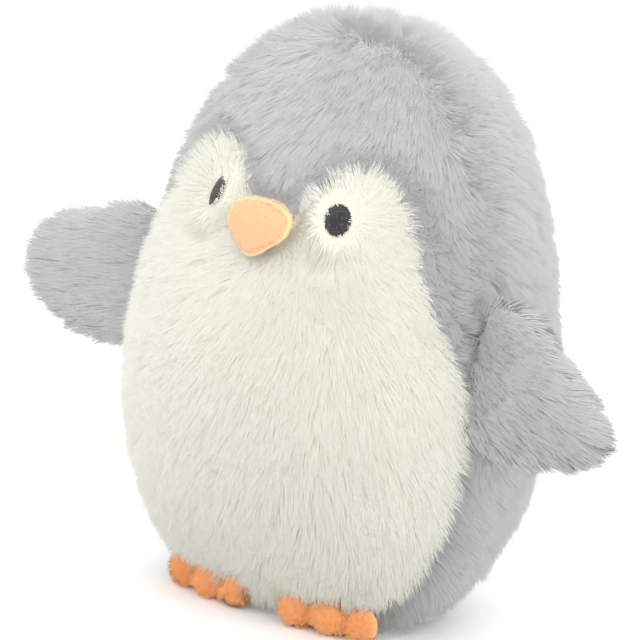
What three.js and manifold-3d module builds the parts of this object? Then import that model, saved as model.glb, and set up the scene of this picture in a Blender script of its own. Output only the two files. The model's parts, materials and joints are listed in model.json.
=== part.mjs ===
// A soft toy penguin with long grey and cream pile, a padded peach beak, embroidered eyes,
// two stuffed wings and two three-toed feet. Millimetres, +Z up. It stands on Z = 0 and faces -Y;
// +X is the side of its left wing. Outer faces lie at the mean surface of the combed pile.

import * as THREE from "three";
import { mergeVertices } from "three/addons/utils/BufferGeometryUtils.js";
import Module from "manifold-3d";

const wasm = await Module();
wasm.setup();

// ---- Driving dimensions -------------------------------------------------------------------

const BODY_HEIGHT = 280;
const BODY_HALF_WIDTH = 101; // mean reach of the body to each side
const BODY_FRONT = 62; // mean reach towards the belly
const BODY_BACK = 118; // mean reach towards the back
const BASE_TUCK = 14; // how far the round form would go on below the floor
const PILE = 10; // backing cloth with its pile, as thick as the combed pile lies
const SEAM_GAP = 0.5; // between two sewn edges
const FIT_GAP = 0.4; // between a cover and its filling, and round a sewn-on piece

const BASE_THICKNESS = 4;
const EYE_WIDTH = 12.5;
const EYE_HEIGHT = 14.5;
const EYE_THICKNESS = 2.6;
const EYE_DEPTH = 4; // the eyes are drawn in below the pile
const BEAK_WIDTH = 35;
const BEAK_HEIGHT = 30;
const BEAK_THICKNESS = 26;
const BEAK_CLOTH = 1.6;

const WING_LENGTH = 77;
const WING_HALF_HEIGHT = 33;
const WING_HALF_THICKNESS = 14;
const WING_ROOT_HALF_THICKNESS = 1.2;
const WING_CLOTH = 4;
const WING_CLEARANCE = 2.4; // between a wing's sewn end and the side of the body
const LEFT_WING_DROOP = 15; // degrees below level
const RIGHT_WING_DROOP = 9;

const FOOT_LENGTH = 20;
const FOOT_HALF_WIDTH = 33;
const FOOT_OVERHANG = 0.68; // the nominal half width passes the centre line by this; the rounded toes stay clear
const FOOT_THICKNESS = 15;
const FOOT_TURN_OUT = 14; // degrees
const FOOT_CLEARANCE = 2.8; // between a foot and the body, so that it can tilt
const FOOT_CLOTH = 2;
const SOLE_THICKNESS = 1.6;

// Places on the body, as shares of its height and half width.
const EYE_LEVEL = 0.709;
const EYE_OUT = 0.33;
const BEAK_LEVEL = 0.673;
const WING_TOP_LEVEL = 0.605;
const WING_BOTTOM_LEVEL = 0.372;

// How each reach changes from the floor to the crown.
const SIDE_FORM = { reach: BODY_HALF_WIDTH, pear: 0.16, square: 0.07 };
const FRONT_FORM = { reach: BODY_FRONT, pear: 0, square: -0.32 };
const BACK_FORM = { reach: BODY_BACK, pear: 0.08, square: 0 };
const FORM_ROUNDNESS = 0.85;
const SECTION_POWER = 2.25; // 2 is an ellipse; more is a squarer level section

// Right half of the cream panel's edge, seen from the front: [share of half width, of height].
const CREAM_EDGE = [
  [0, 0.712],
  [0.1, 0.722],
  [0.2, 0.772],
  [0.36, 0.798],
  [0.52, 0.77],
  [0.655, 0.69],
  [0.75, 0.6],
  [0.86, 0.5],
  [0.97, 0.37],
  [1.1, 0.3],
];
// The side seam, seen from the side: [millimetres in front of the centre, share of height].
const SIDE_SEAM = [
  [-2, 1.05],
  [7, 0.8],
  [12, 0.66],
  [16, 0.5],
  [16, 0.3],
  [14, -0.05],
];

const GREY = 0xc8c9cb;
const CREAM = 0xe9eadf;
const PEACH = 0xfdd0a4;
const ORANGE = 0xf0a468;
const DARK_THREAD = 0x45423f;
const FIBRE = 0xf4f4f2;

// ---- Solids -------------------------------------------------------------------------------

// A closed three.js geometry as a solid that can be joined and cut.
function solid(geometry) {
  const bare = geometry.clone();
  for (const name of Object.keys(bare.attributes)) {
    if (name !== "position") bare.deleteAttribute(name);
  }
  const merged = mergeVertices(bare, 1e-4);
  const corners = merged.index.array;
  const kept = [];
  for (let i = 0; i < corners.length; i += 3) {
    const [a, b, c] = corners.slice(i, i + 3);
    if (a !== b && b !== c && a !== c) kept.push(a, b, c);
  }
  return new wasm.Manifold(
    new wasm.Mesh({
      numProp: 3,
      vertProperties: merged.attributes.position.array,
      triVerts: new Uint32Array(kept),
    }),
  );
}

function geometryOf(body) {
  const made = body.getMesh();
  const geometry = new THREE.BufferGeometry();
  geometry.setAttribute("position", new THREE.BufferAttribute(made.vertProperties, 3));
  geometry.setIndex(new THREE.BufferAttribute(made.triVerts, 1));
  geometry.computeVertexNormals();
  return geometry;
}

// A unit sphere, poles on Z, with every vertex moved by place(direction, pole share 0 to 1).
function formedSphere(around, along, place) {
  const geometry = new THREE.SphereGeometry(1, around, along).rotateX(Math.PI / 2);
  const position = geometry.getAttribute("position");
  for (let i = 0; i < position.count; i++) {
    const v = new THREE.Vector3().fromBufferAttribute(position, i);
    const level = Math.acos(THREE.MathUtils.clamp(-v.z, -1, 1));
    const turn = Math.atan2(v.y, v.x);
    const p = place(level, turn, Math.hypot(v.x, v.y) < 1e-5);
    position.setXYZ(i, p.x, p.y, p.z);
  }
  return geometry;
}

function block(low, high) {
  const size = high.clone().sub(low);
  const centre = low.clone().add(high).multiplyScalar(0.5);
  return solid(new THREE.BoxGeometry(size.x, size.y, size.z).translate(centre.x, centre.y, centre.z));
}

const FAR = 4 * BODY_HEIGHT;
const ROOM = new THREE.Vector3(FAR, FAR, FAR);

// All the space above a level.
function above(level) {
  return block(new THREE.Vector3(-FAR, -FAR, level), ROOM);
}

function mirrored(geometry) {
  const copy = geometry.clone().applyMatrix4(new THREE.Matrix4().makeScale(-1, 1, 1));
  const index = copy.index.array;
  for (let i = 0; i < index.length; i += 3) {
    [index[i + 1], index[i + 2]] = [index[i + 2], index[i + 1]];
  }
  copy.computeVertexNormals();
  return copy;
}

// ---- Body form ----------------------------------------------------------------------------

function reachAt(form, angle, inset) {
  const swell = 1 + form.pear * Math.cos(angle) + form.square * Math.cos(2 * angle);
  const full = form.reach * Math.max(Math.sin(angle), 0) ** FORM_ROUNDNESS * swell;
  const mean = (form.reach - inset) / form.reach;
  return full * mean;
}

function sectionScale(turn) {
  const c = Math.abs(Math.cos(turn)) ** SECTION_POWER;
  const s = Math.abs(Math.sin(turn)) ** SECTION_POWER;
  return (c + s) ** (-1 / SECTION_POWER);
}

// A point of the body's surface, inset below it; angle runs from the underside to the crown.
function bodyPoint(angle, turn, inset = 0) {
  const depth = Math.sin(turn) < 0 ? FRONT_FORM : BACK_FORM;
  const k = sectionScale(turn);
  const low = -BASE_TUCK + inset;
  const high = BODY_HEIGHT - inset;
  return new THREE.Vector3(
    reachAt(SIDE_FORM, angle, inset) * Math.cos(turn) * k,
    reachAt(depth, angle, inset) * Math.sin(turn) * k,
    low + ((high - low) * (1 - Math.cos(angle))) / 2,
  );
}

function angleAt(height) {
  return Math.acos(1 - (2 * (height + BASE_TUCK)) / (BODY_HEIGHT + BASE_TUCK));
}

// The front (or back) surface at a place across and up the body.
function surfaceY(x, height, form = FRONT_FORM) {
  const angle = angleAt(height);
  const across = Math.min(Math.abs(x) / reachAt(SIDE_FORM, angle, 0), 1);
  const along = (1 - across ** SECTION_POWER) ** (1 / SECTION_POWER);
  return (form === FRONT_FORM ? -1 : 1) * reachAt(form, angle, 0) * along;
}

function surfaceX(y, height) {
  const angle = angleAt(height);
  const form = y < 0 ? FRONT_FORM : BACK_FORM;
  const along = Math.min(Math.abs(y) / reachAt(form, angle, 0), 1);
  return reachAt(SIDE_FORM, angle, 0) * (1 - along ** SECTION_POWER) ** (1 / SECTION_POWER);
}

// Outward direction of the front surface, from two short steps along it.
function frontNormal(x, height) {
  const step = 2;
  const dx = surfaceY(x + step, height) - surfaceY(x - step, height);
  const dz = surfaceY(x, height + step) - surfaceY(x, height - step);
  return new THREE.Vector3(dx / (2 * step), -1, dz / (2 * step)).normalize();
}

function bodySolid(inset, around, along) {
  const form = formedSphere(around, along, (angle, turn) => bodyPoint(angle, turn, inset));
  return solid(form).intersect(above(0));
}

const outerBody = bodySolid(0, 32, 18);
const innerBody = bodySolid(PILE, 24, 12).intersect(above(BASE_THICKNESS + SEAM_GAP));
const grownBody = bodySolid(-FIT_GAP, 32, 18);
const bodyWithFootRoom = bodySolid(-FOOT_CLEARANCE, 32, 18);
const bodyWithWingRoom = bodySolid(-WING_CLEARANCE, 32, 18);

// ---- Cutting the pattern ------------------------------------------------------------------

// Space in front of the side seam, moved back or forward by a margin.
function inFrontOfSeam(margin) {
  const seam = new THREE.SplineCurve(
    SIDE_SEAM.map(([front, share]) => new THREE.Vector2(-front + margin, share * BODY_HEIGHT)),
  );
  const shape = new THREE.Shape([
    ...seam.getPoints(12),
    new THREE.Vector2(-FAR, -0.05 * BODY_HEIGHT),
    new THREE.Vector2(-FAR, 1.05 * BODY_HEIGHT),
  ]);
  const wide = new THREE.ExtrudeGeometry(shape, { depth: 2 * FAR, bevelEnabled: false });
  // The shape is drawn on (y, z) and extruded along x.
  const toSide = new THREE.Matrix4().makeBasis(
    new THREE.Vector3(0, 1, 0),
    new THREE.Vector3(0, 0, 1),
    new THREE.Vector3(1, 0, 0),
  );
  return solid(wide.applyMatrix4(toSide).translate(-FAR, 0, 0));
}

// The cream panel's outline, grown by a margin along its normals, extruded through the front.
function creamSpace(margin) {
  const half = new THREE.SplineCurve(
    CREAM_EDGE.map(([x, z]) => new THREE.Vector2(x * BODY_HALF_WIDTH, z * BODY_HEIGHT)),
  );
  const steps = 22;
  const edge = [];
  for (let i = 0; i <= steps; i++) {
    const at = half.getPoint(i / steps);
    const along = half.getTangent(i / steps);
    const x = i === 0 ? 0 : at.x - along.y * margin;
    edge.push(new THREE.Vector2(x, at.y + along.x * margin));
  }
  const low = -0.1 * BODY_HEIGHT;
  const last = edge[edge.length - 1];
  const right = [...edge, new THREE.Vector2(last.x, low)];
  const left = right
    .slice(1)
    .reverse()
    .map((p) => new THREE.Vector2(-p.x, p.y));
  const panel = new THREE.ExtrudeGeometry(new THREE.Shape([...right, ...left]), {
    depth: FAR,
    bevelEnabled: false,
  });
  // The shape is drawn on (x, z) and extruded towards -y.
  return solid(panel.rotateX(Math.PI / 2));
}

function seamYAt(height) {
  const seam = new THREE.SplineCurve(
    SIDE_SEAM.map(([front, share]) => new THREE.Vector2(share * BODY_HEIGHT, -front)),
  );
  const points = seam.getPoints(200);
  return points.reduce((best, p) => (Math.abs(p.x - height) < Math.abs(best.x - height) ? p : best)).y;
}

const upperShell = outerBody.subtract(innerBody).intersect(above(BASE_THICKNESS + SEAM_GAP));
const frontShell = upperShell.intersect(inFrontOfSeam(-SEAM_GAP / 2));
const backShell = upperShell.subtract(inFrontOfSeam(SEAM_GAP / 2));

// ---- Placing sewn-on pieces ---------------------------------------------------------------

// A frame on the front of the body: its z looks out of the body and its y up the surface.
function faceFrame(x, height, depth) {
  const out = frontNormal(x, height);
  const side = new THREE.Vector3(0, 0, 1).cross(out).normalize();
  const up = out.clone().cross(side);
  const at = new THREE.Vector3(x, surfaceY(x, height), height).addScaledVector(out, -depth);
  return new THREE.Matrix4().makeBasis(side, up, out).setPosition(at);
}

const eyeX = EYE_OUT * BODY_HALF_WIDTH;
const eyeFrame = faceFrame(eyeX, EYE_LEVEL * BODY_HEIGHT, EYE_DEPTH);

function eyeGeometry() {
  return new THREE.SphereGeometry(0.5, 16, 6)
    .rotateX(Math.PI / 2)
    .scale(EYE_WIDTH, EYE_HEIGHT, EYE_THICKNESS)
    .applyMatrix4(eyeFrame);
}

// The hollow round an eye: a flared pit that reaches a little below the thread.
function eyePit() {
  const floor = EYE_THICKNESS / 2 + FIT_GAP;
  const depth = floor + EYE_DEPTH + 4;
  const flare = 1.35;
  return solid(
    new THREE.CylinderGeometry(0.5 * flare, 0.5, depth, 16)
      .rotateX(Math.PI / 2)
      .scale(EYE_WIDTH + 2 * FIT_GAP, EYE_HEIGHT + 2 * FIT_GAP, 1)
      .translate(0, 0, depth / 2 - floor)
      .applyMatrix4(eyeFrame),
  );
}

const rightPit = eyePit();
const leftPit = solid(mirrored(geometryOf(rightPit)));

// The beak is a small pillow with a broad round top edge and a narrower lower tip.
const beakFrame = faceFrame(0, BEAK_LEVEL * BODY_HEIGHT, 2);

function beakSolid(inset) {
  const narrow = 0.3; // how much the lower half draws in
  return solid(
    formedSphere(16, 10, (angle, turn) => {
      const up = -Math.cos(angle);
      const r = Math.sin(angle);
      const width = (BEAK_WIDTH / 2 - inset) * (1 + narrow * up);
      const bulge = (BEAK_THICKNESS / 2 - inset) * (1 - 0.25 * up);
      return new THREE.Vector3(
        width * r * Math.cos(turn),
        (BEAK_HEIGHT / 2 - inset) * up,
        -bulge * r * Math.sin(turn),
      );
    }).applyMatrix4(beakFrame),
  );
}

// ---- Wings --------------------------------------------------------------------------------

const wingTop = WING_TOP_LEVEL * BODY_HEIGHT;
const wingBottom = WING_BOTTOM_LEVEL * BODY_HEIGHT;

function seamPoint(height) {
  const y = seamYAt(height);
  return new THREE.Vector3(surfaceX(y, height) + WING_CLEARANCE / 2, y, height);
}

// The left wing's hinge: its z runs up the side seam, its x points out of the body.
function hingeFrame() {
  const up = seamPoint(wingTop).sub(seamPoint(wingBottom)).normalize();
  const out = new THREE.Vector3(1, 0, 0).addScaledVector(up, -up.x).normalize();
  const middle = (wingTop + wingBottom) / 2;
  const at = seamPoint(middle);
  return new THREE.Matrix4().makeBasis(out, up.clone().cross(out), up).setPosition(at);
}

function wingForm(droop, inset) {
  const length = WING_LENGTH - 2 * inset;
  return formedSphere(16, 9, (angle, turn, pole) => {
    const share = (1 - Math.cos(angle)) / 2;
    const fade = pole ? 0 : 1;
    const high = (WING_HALF_HEIGHT - inset) * Math.sqrt(Math.max(1 - share ** 3, 0));
    const root = WING_ROOT_HALF_THICKNESS * (1 - inset / (WING_CLOTH + 1));
    // Flat where it is sewn in, so that it can swing, and blunt at the tip.
    const swell = Math.sin(Math.PI * share) ** (share < 0.5 ? 1.3 : 0.6);
    const thick = root * (1 - share) + (WING_HALF_THICKNESS - inset) * swell;
    return new THREE.Vector3(
      inset + share * length,
      fade * thick * Math.sin(turn),
      -fade * high * Math.cos(turn),
    );
  }).rotateY(THREE.MathUtils.degToRad(droop));
}

// A wing as two sewn cloth faces and the fibre between them, for the penguin's left side.
function wingPieces(droop) {
  const place = (geometry) => geometry.applyMatrix4(hingeFrame());
  const formed = (inset) => solid(place(wingForm(droop, inset)));
  const shell = formed(0).subtract(formed(WING_CLOTH)).subtract(bodyWithWingRoom);
  const fibre = formed(WING_CLOTH + FIT_GAP).subtract(bodyWithWingRoom);
  const ahead = (margin) =>
    solid(
      place(new THREE.BoxGeometry(FAR, FAR, FAR).translate(0, -FAR / 2 - margin, 0)),
    );
  return {
    front: shell.intersect(ahead(SEAM_GAP / 2)),
    back: shell.subtract(ahead(-SEAM_GAP / 2)),
    fibre,
  };
}

// ---- Feet ---------------------------------------------------------------------------------

// [across, forward, half width, half length] of the heel pad and the three toes.
const FOOT_FORM = [
  [0, 0.14, 0.8, 0.5],
  [-0.64, 0.38, 0.28, 0.44],
  [0, 0.44, 0.31, 0.46],
  [0.64, 0.4, 0.32, 0.44],
];

function footOuter(inset) {
  const lobes = FOOT_FORM.map(([across, forward, wide, long], i) => {
    const high = FOOT_THICKNESS * (i === 0 ? 0.62 : 1) - inset;
    return solid(
      new THREE.SphereGeometry(1, 12, 8)
        .rotateX(Math.PI / 2)
        .scale(wide * FOOT_HALF_WIDTH - inset, long * FOOT_LENGTH - inset, high * 0.62)
        .translate(across * FOOT_HALF_WIDTH, -forward * FOOT_LENGTH, 0.38 * FOOT_THICKNESS),
    );
  });
  return lobes.reduce((all, lobe) => all.add(lobe));
}

function footFrame() {
  const x = FOOT_HALF_WIDTH - FOOT_OVERHANG;
  const rim = surfaceY(x, 0);
  const turn = THREE.MathUtils.degToRad(FOOT_TURN_OUT);
  return new THREE.Matrix4().makeRotationZ(turn).setPosition(x, rim - FOOT_CLEARANCE, 0);
}

// A foot as a flat sole, a domed cover and the fibre inside, for the penguin's left side.
function footPieces() {
  const place = (body) => solid(geometryOf(body).applyMatrix4(footFrame())).subtract(bodyWithFootRoom);
  const outer = footOuter(0).intersect(above(0));
  const fibre = footOuter(FOOT_CLOTH + FIT_GAP).intersect(above(SOLE_THICKNESS + 2 * FIT_GAP));
  const cover = outer.intersect(above(SOLE_THICKNESS + FIT_GAP)).subtract(footOuter(FOOT_CLOTH));
  return {
    cover: place(cover),
    sole: place(outer.subtract(above(SOLE_THICKNESS))),
    fibre: place(fibre),
  };
}

// ---- Assembly -----------------------------------------------------------------------------

const penguin = new THREE.Group();

function cloth(color, roughness) {
  return new THREE.MeshStandardMaterial({ color, roughness, metalness: 0 });
}

function add(name, geometry, color, roughness = 0.95) {
  const mesh = new THREE.Mesh(geometry, cloth(color, roughness));
  mesh.name = name;
  penguin.add(mesh);
}

const pits = rightPit.add(leftPit);
const cream = creamSpace(-SEAM_GAP / 2);
add("belly_panel", geometryOf(frontShell.intersect(cream).subtract(pits)), CREAM);
add("crown_panel", geometryOf(frontShell.subtract(creamSpace(SEAM_GAP / 2))), GREY);

const leftHalf = block(new THREE.Vector3(SEAM_GAP / 2, -FAR, -FAR), ROOM);
const leftBack = geometryOf(backShell.intersect(leftHalf));
add("back_panel_left", leftBack, GREY);
add("back_panel_right", mirrored(leftBack), GREY);

add("base_panel", geometryOf(outerBody.subtract(above(BASE_THICKNESS))), GREY);
const filling = bodySolid(PILE + FIT_GAP, 24, 12).intersect(above(BASE_THICKNESS + SEAM_GAP));
add("body_filling", geometryOf(filling), FIBRE);

const beakCover = beakSolid(0).subtract(beakSolid(BEAK_CLOTH)).subtract(grownBody);
add("beak_cover", geometryOf(beakCover), PEACH, 0.85);
add("beak_filling", geometryOf(beakSolid(BEAK_CLOTH + FIT_GAP).subtract(grownBody)), FIBRE);

add("eye_left", eyeGeometry(), DARK_THREAD, 0.5);
add("eye_right", mirrored(eyeGeometry()), DARK_THREAD, 0.5);

const leftWing = wingPieces(LEFT_WING_DROOP);
add("wing_left_front", geometryOf(leftWing.front), GREY);
add("wing_left_back", geometryOf(leftWing.back), GREY);
add("wing_left_filling", geometryOf(leftWing.fibre), FIBRE);

const rightWing = wingPieces(RIGHT_WING_DROOP);
add("wing_right_front", mirrored(geometryOf(rightWing.front)), GREY);
add("wing_right_back", mirrored(geometryOf(rightWing.back)), GREY);
add("wing_right_filling", mirrored(geometryOf(rightWing.fibre)), FIBRE);

const foot = footPieces();
add("foot_left_cover", geometryOf(foot.cover), ORANGE);
add("foot_left_sole", geometryOf(foot.sole), ORANGE);
add("foot_left_filling", geometryOf(foot.fibre), FIBRE);
add("foot_right_cover", mirrored(geometryOf(foot.cover)), ORANGE);
add("foot_right_sole", mirrored(geometryOf(foot.sole)), ORANGE);
add("foot_right_filling", mirrored(geometryOf(foot.fibre)), FIBRE);

export default penguin;
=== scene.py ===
# %% [markdown]
# # A plush penguin with combed pile
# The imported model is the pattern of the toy: which panel is where, where the wings and feet are
# sewn on and how they move. This script dresses it. It makes the stuffed skin, grows the pile on
# it, embroiders the eyes and sets the finishes.

# %% Load the frame
import json
import math
import bmesh
import bpy
import numpy as np
from mathutils import Matrix, Vector, noise
from mathutils.bvhtree import BVHTree


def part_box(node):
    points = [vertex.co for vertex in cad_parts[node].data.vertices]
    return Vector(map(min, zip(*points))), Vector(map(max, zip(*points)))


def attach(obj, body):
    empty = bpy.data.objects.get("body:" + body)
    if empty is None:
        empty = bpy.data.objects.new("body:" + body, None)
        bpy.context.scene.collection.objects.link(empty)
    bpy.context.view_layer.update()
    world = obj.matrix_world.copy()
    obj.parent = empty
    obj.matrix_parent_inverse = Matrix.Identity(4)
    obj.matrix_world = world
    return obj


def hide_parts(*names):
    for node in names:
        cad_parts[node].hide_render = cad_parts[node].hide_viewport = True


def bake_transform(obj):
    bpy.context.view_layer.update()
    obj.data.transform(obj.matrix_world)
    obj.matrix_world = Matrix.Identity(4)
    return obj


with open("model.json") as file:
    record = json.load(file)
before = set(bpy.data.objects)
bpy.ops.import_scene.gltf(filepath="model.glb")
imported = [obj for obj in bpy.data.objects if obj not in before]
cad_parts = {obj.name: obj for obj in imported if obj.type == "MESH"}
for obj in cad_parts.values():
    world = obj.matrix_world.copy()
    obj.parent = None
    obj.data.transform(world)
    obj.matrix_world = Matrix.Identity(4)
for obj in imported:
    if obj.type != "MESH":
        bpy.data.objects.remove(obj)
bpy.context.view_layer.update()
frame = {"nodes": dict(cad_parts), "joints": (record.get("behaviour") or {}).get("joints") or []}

MM = 0.001
nodes = frame["nodes"]
joints = {joint["name"]: joint for joint in frame["joints"]}


def placed(name, data):
    """A new object in the scene."""
    thing = bpy.data.objects.new(name, data)
    bpy.context.scene.collection.objects.link(thing)
    return thing


# %% [markdown]
# ## Camera, light and floor
# A small toy is shot from far off with a long lens, so that its near side doesn't swell. The
# camera is tipped a little about its own axis, which makes the toy lean. Four large soft lamps
# and a bright room keep the shading even.

# %% Camera
VIEW_TURN, VIEW_RISE, VIEW_TIP = (math.radians(a) for a in (31, 13, 7))
VIEW_DISTANCE = 1.5
LENS = 182
AIM = Vector((-0.004, -0.004, 0.136))


def look_from(turn, rise):
    """The direction from the toy to a place round it."""
    return Vector((math.sin(turn) * math.cos(rise), -math.cos(turn) * math.cos(rise), math.sin(rise)))


camera = placed("camera", bpy.data.cameras.new("camera"))
camera.data.lens = LENS
back = look_from(VIEW_TURN, VIEW_RISE)
camera.location = AIM + back * VIEW_DISTANCE
facing = (-back).to_track_quat("-Z", "Y").to_matrix().to_4x4()
camera.rotation_euler = (facing @ Matrix.Rotation(VIEW_TIP, 4, "Z")).to_euler()
bpy.context.scene.camera = camera
bpy.context.scene.view_settings.view_transform = "Standard"

# %% Lamps and room
ROOM_LIGHT = 1.08
LAMP_DISTANCE = 1.4


def lamp(name, turn, rise, size, power):
    """A square soft lamp that faces the toy."""
    light = bpy.data.lights.new(name, "AREA")
    light.size, light.energy = size, power
    stand = placed(name, light)
    away = look_from(math.radians(turn), math.radians(rise))
    stand.location = AIM + away * LAMP_DISTANCE
    stand.rotation_euler = (-away).to_track_quat("-Z", "Y").to_euler()


lamp("key", turn=15, rise=40, size=1.2, power=7)
lamp("fill", turn=-60, rise=35, size=1.0, power=3)
lamp("side", turn=85, rise=35, size=1.0, power=4.5)
lamp("back", turn=200, rise=45, size=1.0, power=5)
room = bpy.data.worlds.new("room")
room.use_nodes = True
glow = room.node_tree.nodes["Background"].inputs
glow["Color"].default_value = (1, 1, 1, 1)
glow["Strength"].default_value = ROOM_LIGHT
bpy.context.scene.world = room

# %% [markdown]
# ## Node graphs as Python
# A `Wire` wraps one socket, so that `1 - mask * 0.5` adds its Math nodes. A `Graph` makes every
# other node from its type, its settings and the values or wires of its sockets. Materials and
# Geometry Nodes trees both use it.

# %% Wires and graphs
class Wire:
    """An output socket that Python arithmetic can be done on."""

    def __init__(self, graph, socket):
        self.graph, self.socket = graph, socket

    def maths(self, operation, a, b):
        return self.graph.node("ShaderNodeMath", {"operation": operation}, {0: a, 1: b})

    def __add__(self, other):
        return self.maths("ADD", self, other)

    def __mul__(self, other):
        return self.maths("MULTIPLY", self, other)

    def __sub__(self, other):
        return self.maths("SUBTRACT", self, other)

    def __rsub__(self, other):
        return self.maths("SUBTRACT", other, self)

    def __truediv__(self, other):
        return self.maths("DIVIDE", self, other)

    def __rtruediv__(self, other):
        return self.maths("DIVIDE", other, self)

    def __pow__(self, other):
        return self.maths("POWER", self, other)

    __radd__, __rmul__ = __add__, __mul__


class Graph:
    """A node tree that is written as calls."""

    def __init__(self, tree):
        self.tree = tree

    def node(self, kind, settings=None, values=None, out=0):
        made = self.tree.nodes.new(kind)
        for name, setting in (settings or {}).items():
            if name == "stops":
                self.set_stops(made.color_ramp, setting)
            else:
                setattr(made, name, setting)
        for key, value in (values or {}).items():
            self.put(made.inputs[key], value)
        if isinstance(out, tuple):
            return [Wire(self, made.outputs[key]) for key in out]
        return Wire(self, made.outputs[out])

    def put(self, socket, value):
        if isinstance(value, Wire):
            self.tree.links.new(value.socket, socket)
        else:
            socket.default_value = value

    def set_stops(self, ramp, stops):
        while len(ramp.elements) < len(stops):
            ramp.elements.new(0.5)
        for element, (place, colour) in zip(ramp.elements, stops):
            element.position, element.color = place, (*colour, 1)

    def vector(self, operation, a, b=None, out=0):
        values = {0: a} if b is None else {0: a, 1: b}
        return self.node("ShaderNodeVectorMath", {"operation": operation}, values, out)

    def scaled(self, vector, factor):
        return self.node("ShaderNodeVectorMath", {"operation": "SCALE"}, {0: vector, "Scale": factor})

    def xyz(self, x, y, z=0.0):
        return self.node("ShaderNodeCombineXYZ", None, {0: x, 1: y, 2: z})

    def chance(self, low, high, seed):
        """A random number for each point."""
        values = {2: low, 3: high, "Seed": seed}
        return self.node("FunctionNodeRandomValue", {"data_type": "FLOAT"}, values, 1)

    def stored(self, geometry, name, value, kind="FLOAT", domain="INSTANCE"):
        settings = {"data_type": kind, "domain": domain}
        values = {"Geometry": geometry, "Name": name, "Value": value}
        return self.node("GeometryNodeStoreNamedAttribute", settings, values)


class Finish(Graph):
    """A material with one Principled shader, whose plain numbers sit on its own sockets."""

    def __init__(self, name, **numbers):
        self.material = bpy.data.materials.new(name)
        self.material.use_nodes = True
        super().__init__(self.material.node_tree)
        self.shader = self.tree.nodes["Principled BSDF"]
        for key, value in numbers.items():
            self.wear(key.replace("_", " "), value)

    def mix(self, factor, a, b, blend="MIX"):
        settings = {"data_type": "RGBA", "blend_type": blend}
        return self.node("ShaderNodeMix", settings, {0: factor, 6: a, 7: b}, 2)

    def wear(self, socket, value):
        self.put(self.shader.inputs[socket], value)


def rgb(red, green, blue):
    """An sRGB colour from 0 to 255 as the linear colour that nodes take."""
    def linear(c):
        c /= 255
        return c / 12.92 if c <= 0.04045 else ((c + 0.055) / 1.055) ** 2.4

    return (linear(red), linear(green), linear(blue))


print("graph helpers are ready")

# %% Floor
floor_paint = Finish("floor_paint", Roughness=0.6)
floor_paint.wear("Base Color", (0.95, 0.95, 0.95, 1))
floor_mesh = bpy.data.meshes.new("floor")
FLOOR_REACH = 30
FLOOR_DROP = 0.0005
signs = ((-1, -1), (1, -1), (1, 1), (-1, 1))
corners = [(x * FLOOR_REACH, y * FLOOR_REACH, -FLOOR_DROP) for x, y in signs]
floor_mesh.from_pydata(corners, [], [(0, 1, 2, 3)])
floor_mesh.materials.append(floor_paint.material)
floor = placed("floor", floor_mesh)

# %% [markdown]
# ## The finish of pile
# Long pile is painted darker down between the roots and paler at the tips: painted shade, as the
# pile casts no shadow of its own. No two hairs dye quite alike. Every hair gets a place on a small
# colour chart: along the chart's height runs the hair from root to tip, across it each hair has its
# own column. The chart is the piece's own UV map, so that the same few nodes colour a hundred
# thousand hairs. The foot of the chart is darker still, a painted shadow that only the hairs in the
# valleys along the seams reach down to.

# %% Pile finishes
HAIR_CHART = "OFBake"
# The painted shadow at the foot of the chart, as a share of the root colour, and where it meets the root
# colour.
VALLEY_SHADE = 0.42
VALLEY_TOP = 0.25
TINT_BANDS, TINT_SHARE = 40, 0.55


def pile_finish(name, root, tip, tint, roughness=0.75, sheen=0.25):
    """A finish for hairs: root and tip colours, the root darker as painted shade, a painted shadow
    below the root for the seam valleys, and a tint that some hairs take.
    """
    finish = Finish(name, Roughness=roughness, Sheen_Weight=sheen, Sheen_Roughness=0.5)
    finish.wear("Sheen Tint", (*tip, 1))
    finish.wear("Specular IOR Level", 0.25)
    chart = finish.node("ShaderNodeUVMap", {"uv_map": HAIR_CHART})
    across, along = finish.node("ShaderNodeSeparateXYZ", None, {0: chart}, (0, 1))
    # Painted shade: the ramp darkens from tip to root, and further at its foot as painted shadow for the
    # seam valleys.
    depth = finish.node(
        "ShaderNodeValToRGB",
        {"stops": [(0.0, tuple(r * VALLEY_SHADE for r in root)), (VALLEY_TOP, root), (1.0, tip)]},
        {0: along},
    )
    bands = finish.node(
        "ShaderNodeTexNoise",
        {"noise_dimensions": "1D"},
        {"W": across * TINT_BANDS, "Scale": 1.0, "Detail": 1.0},
    )
    finish.wear("Base Color", finish.mix(bands * TINT_SHARE, depth, (*tint, 1)))
    return finish.material


# The root colours are darker than the tips as painted shade between the hairs.
GREY_PILE = pile_finish("grey_pile", rgb(192, 193, 193), rgb(212, 213, 213), rgb(202, 203, 203))
CREAM_PILE = pile_finish("cream_pile", rgb(241, 240, 225), rgb(247, 247, 238), rgb(244, 244, 231))
PEACH_PILE = pile_finish("peach_pile", rgb(248, 196, 148), rgb(255, 220, 182), rgb(252, 204, 160))
ORANGE_PILE = pile_finish("orange_pile", rgb(244, 158, 94), rgb(255, 190, 132), rgb(250, 172, 112))


def cloth_finish(name, dark, light, knit):
    """The knitted ground of pile cloth: loops a knit apart, in two tones."""
    finish = Finish(name, Roughness=0.9, Sheen_Weight=0.2)
    place = finish.node("ShaderNodeTexCoord", out="Object")
    cells = finish.node("ShaderNodeTexVoronoi", None, {"Vector": place, "Scale": 1 / knit})
    fuzz = {"Vector": place, "Scale": 0.35 / knit, "Detail": 3.0}
    fibres = finish.node("ShaderNodeTexNoise", None, fuzz)
    tone = cells * 0.6 + fibres * 0.5
    finish.wear("Base Color", finish.mix(tone, (*dark, 1), (*light, 1)))
    bump = finish.node("ShaderNodeBump", None, {"Strength": 0.4, "Distance": knit, "Height": tone})
    finish.wear("Normal", bump)
    return finish.material


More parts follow.
